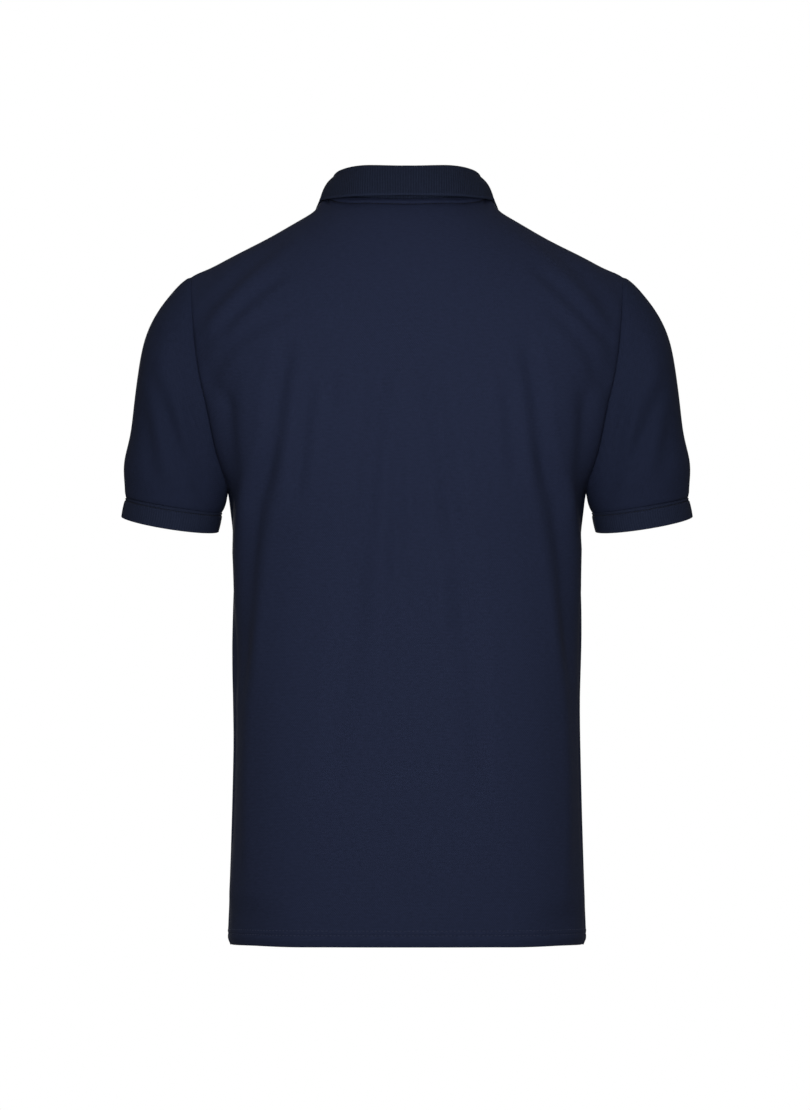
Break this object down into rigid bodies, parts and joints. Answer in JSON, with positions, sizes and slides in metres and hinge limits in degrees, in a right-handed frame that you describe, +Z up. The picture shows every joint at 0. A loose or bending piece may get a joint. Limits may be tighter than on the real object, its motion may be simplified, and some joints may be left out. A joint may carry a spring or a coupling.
{
  "type": "polo shirt",
  "caption": "Short-sleeved polo shirt in its worn, hollow form, with a knitted fall collar, ribbed cuffs and a short buttoned placket.",
  "frame": {"origin": "on the middle line, between the shoulders at the height of the high neck points, where the garment hangs on its wearer", "axes": "+Z up, -Y to the garment's front, X across with +X to the wearer's left"},
  "size_m": [0.572, 0.2566, 0.778],
  "materials": {
    "pique": "matt navy cotton pique knit",
    "rib": "matt navy ribbed cotton knit",
    "button": "satin navy polyester button"
  },
  "bodies": {
    "root": {"back": "pique", "front": "pique", "sleeve_left": "pique", "sleeve_right": "pique", "cuff_left": "rib", "cuff_right": "rib", "collar": "rib", "placket_upper": "pique", "placket_lower": "pique", "button_top": "button", "button_middle": "button", "button_bottom": "button"}
  },
  "joints": []
}
